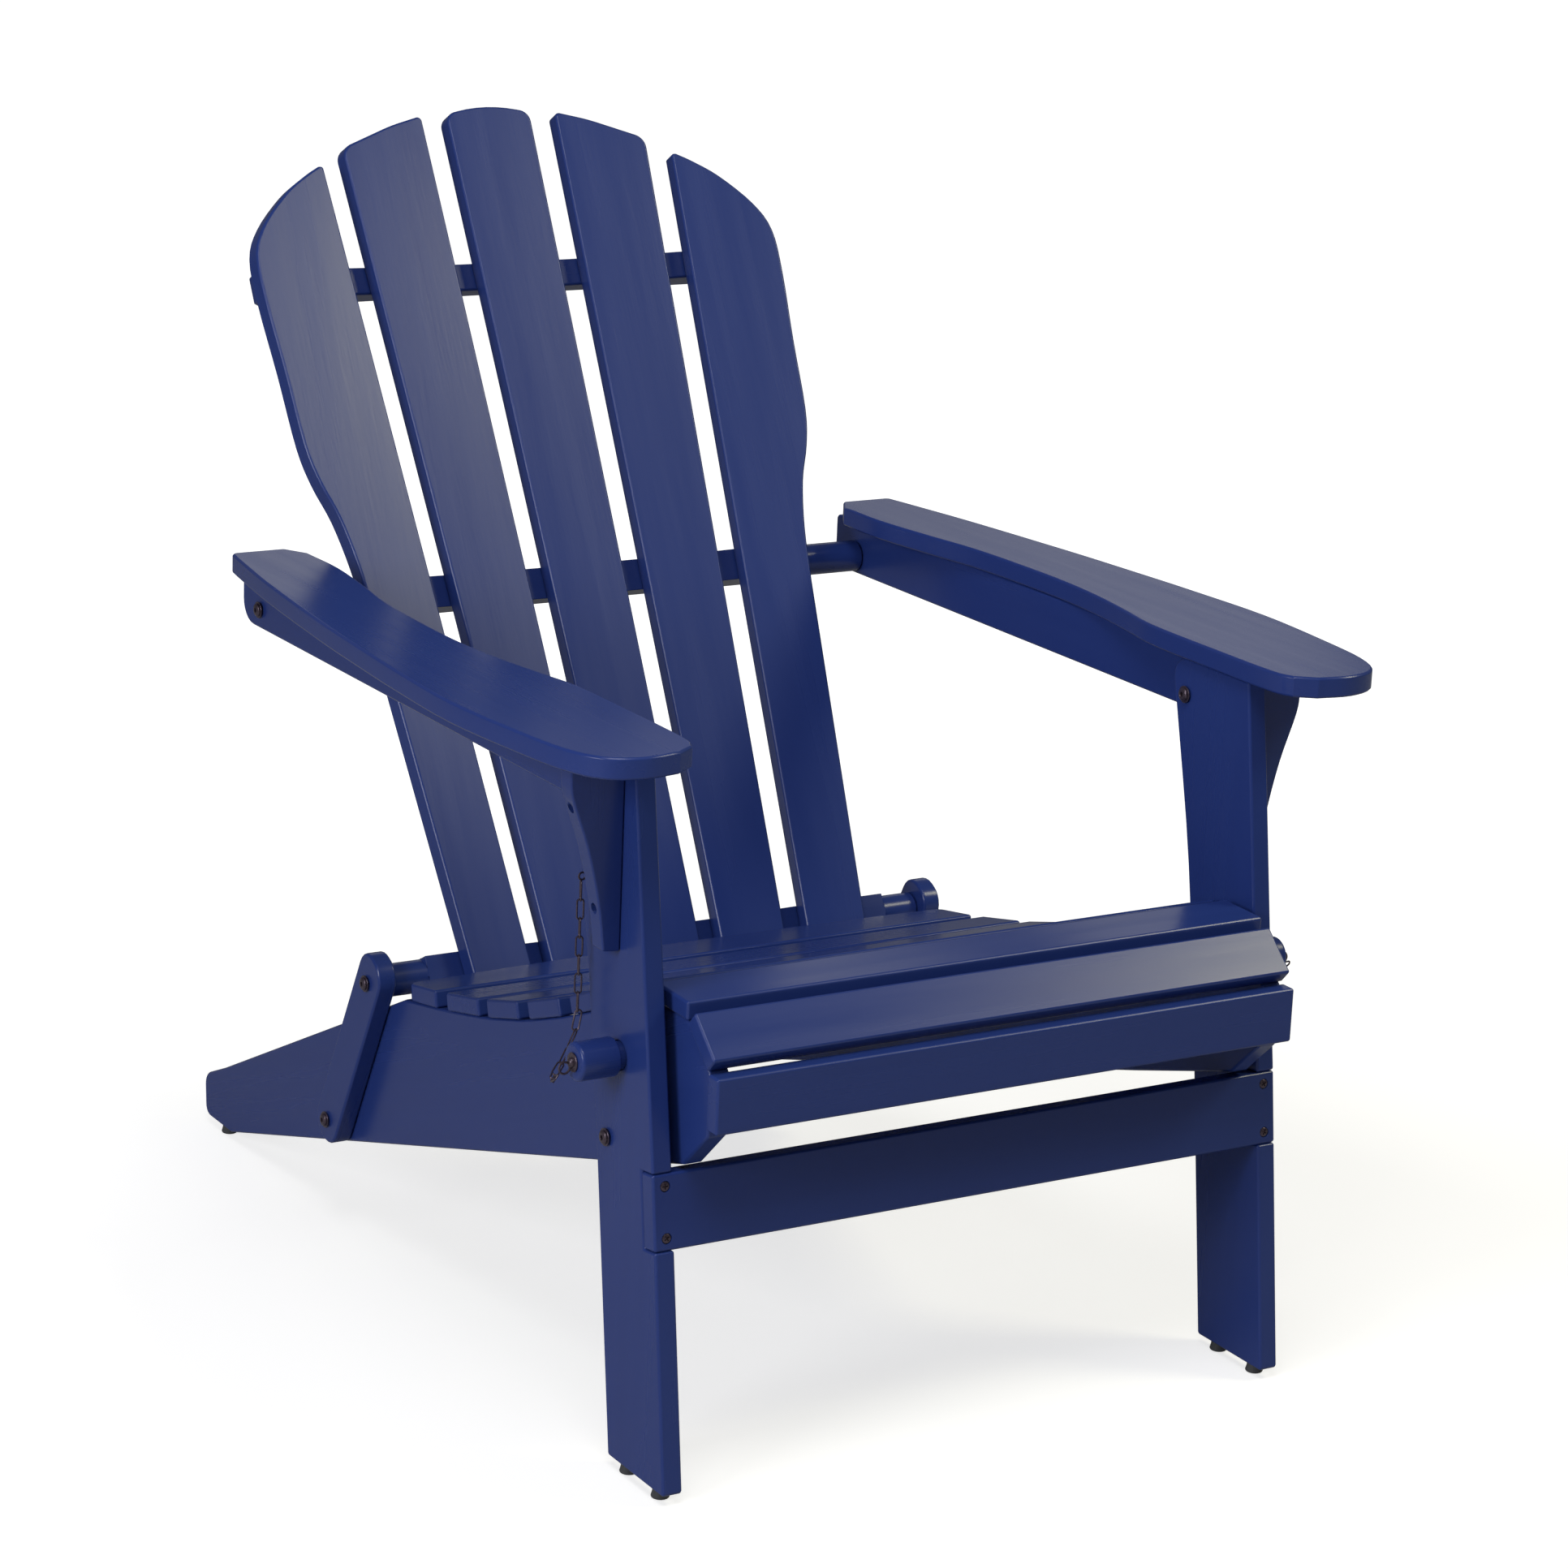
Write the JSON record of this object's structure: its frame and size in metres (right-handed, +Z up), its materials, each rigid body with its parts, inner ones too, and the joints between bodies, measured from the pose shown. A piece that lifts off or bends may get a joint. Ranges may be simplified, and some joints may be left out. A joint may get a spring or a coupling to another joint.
{
  "type": "folding adirondack chair",
  "caption": "Folding adirondack garden chair in navy painted boards, with a fanned slatted back, broad paddle arms, sloping slatted seat and chained locking pins.",
  "frame": {"origin": "on the floor, in the middle plane, below the front end of the seat rails", "axes": "+Z up, -Y the way the sitter faces, +X the sitter's left"},
  "size_m": [0.75, 0.9254, 0.9228],
  "materials": {
    "navy_paint": "satin navy outdoor paint over softwood boards",
    "dark_bronze": "dark bronze plated steel",
    "grey_nylon": "moulded nylon glide"
  },
  "bodies": {
    "seat_frame": {"rail_left": "navy_paint", "rail_right": "navy_paint", "seat_slat_front": "navy_paint", "seat_slat_6": "navy_paint", "seat_slat_5": "navy_paint", "seat_slat_4": "navy_paint", "seat_slat_3": "navy_paint", "seat_slat_2": "navy_paint", "seat_slat_rear": "navy_paint", "nose_slat": "navy_paint", "front_fascia": "navy_paint", "rear_glide_left": "grey_nylon", "rear_glide_right": "grey_nylon", "link_bolt_left": "dark_bronze", "link_nut_left": "dark_bronze", "link_bolt_right": "dark_bronze", "link_nut_right": "dark_bronze"},
    "legs": {"apron": "navy_paint", "leg_left": "navy_paint", "corbel_left": "navy_paint", "leg_glide_front_left": "grey_nylon", "leg_glide_rear_left": "grey_nylon", "leg_bolt_left": "dark_bronze", "leg_nut_left": "dark_bronze", "leg_spacer_left": "dark_bronze", "arm_front_bolt_left": "dark_bronze", "chain_eye_left": "dark_bronze", "leg_right": "navy_paint", "corbel_right": "navy_paint", "leg_glide_front_right": "grey_nylon", "leg_glide_rear_right": "grey_nylon", "leg_bolt_right": "dark_bronze", "leg_nut_right": "dark_bronze", "leg_spacer_right": "dark_bronze", "arm_front_bolt_right": "dark_bronze", "chain_eye_right": "dark_bronze"},
    "back": {"back_slat_1": "navy_paint", "back_slat_2": "navy_paint", "back_slat_3": "navy_paint", "back_slat_4": "navy_paint", "back_slat_5": "navy_paint", "upper_crossbar": "navy_paint", "middle_crossbar": "navy_paint", "bottom_crossbar": "navy_paint", "arm_rear_bolt_left": "dark_bronze", "back_bolt_left": "dark_bronze", "arm_rear_bolt_right": "dark_bronze", "back_bolt_right": "dark_bronze"},
    "link_left": {"link_left": "navy_paint"},
    "arm_left": {"arm_left": "navy_paint", "arm_rail_left": "navy_paint"},
    "pin_left": {"locking_pin_left": "navy_paint", "pin_ring_left": "dark_bronze", "chain_left": "dark_bronze"},
    "link_right": {"link_right": "navy_paint"},
    "arm_right": {"arm_right": "navy_paint", "arm_rail_right": "navy_paint"},
    "pin_right": {"locking_pin_right": "navy_paint", "pin_ring_right": "dark_bronze", "chain_right": "dark_bronze"}
  },
  "joints": [
    {"name": "leg_fold", "type": "hinge", "parent": "seat_frame", "child": "legs", "pos_m": [0, 0.106, 0.26], "axis": [1, 0, 0], "range_deg": [0, 94]},
    {"name": "link_swing_left", "type": "hinge", "parent": "seat_frame", "child": "link_left", "pos_m": [0.26775, 0.6147, 0.103], "axis": [1, 0, 0], "range_deg": [-50.2, 0]},
    {"name": "link_swing_right", "type": "hinge", "parent": "seat_frame", "child": "link_right", "pos_m": [-0.26775, 0.6147, 0.103], "axis": [1, 0, 0], "range_deg": [-50.2, 0]},
    {"name": "back_fold", "type": "hinge", "parent": "link_left", "child": "back", "pos_m": [0, 0.541, 0.2475], "axis": [1, 0, 0], "range_deg": [0, 153.3]},
    {"name": "arm_fold_left", "type": "hinge", "parent": "back", "child": "arm_left", "pos_m": [0.2945, 0.701, 0.5335], "axis": [1, 0, 0], "range_deg": [-98.2, 0]},
    {"name": "arm_fold_right", "type": "hinge", "parent": "back", "child": "arm_right", "pos_m": [-0.2945, 0.701, 0.5335], "axis": [1, 0, 0], "range_deg": [-98.2, 0]},
    {"name": "pin_pull_left", "type": "slide", "parent": "legs", "child": "pin_left", "axis": [1, 0, 0], "range_m": [0, 0.06]},
    {"name": "pin_pull_right", "type": "slide", "parent": "legs", "child": "pin_right", "axis": [-1, 0, 0], "range_m": [0, 0.06]}
  ],
  "couplings": [
    {"joint": "link_swing_left", "follows": "leg_fold", "ratio": -0.53192},
    {"joint": "link_swing_right", "follows": "leg_fold", "ratio": -0.53192},
    {"joint": "back_fold", "follows": "leg_fold", "ratio": 1.6284},
    {"joint": "arm_fold_left", "follows": "leg_fold", "ratio": -1.0433},
    {"joint": "arm_fold_right", "follows": "leg_fold", "ratio": -1.0433}
  ]
}
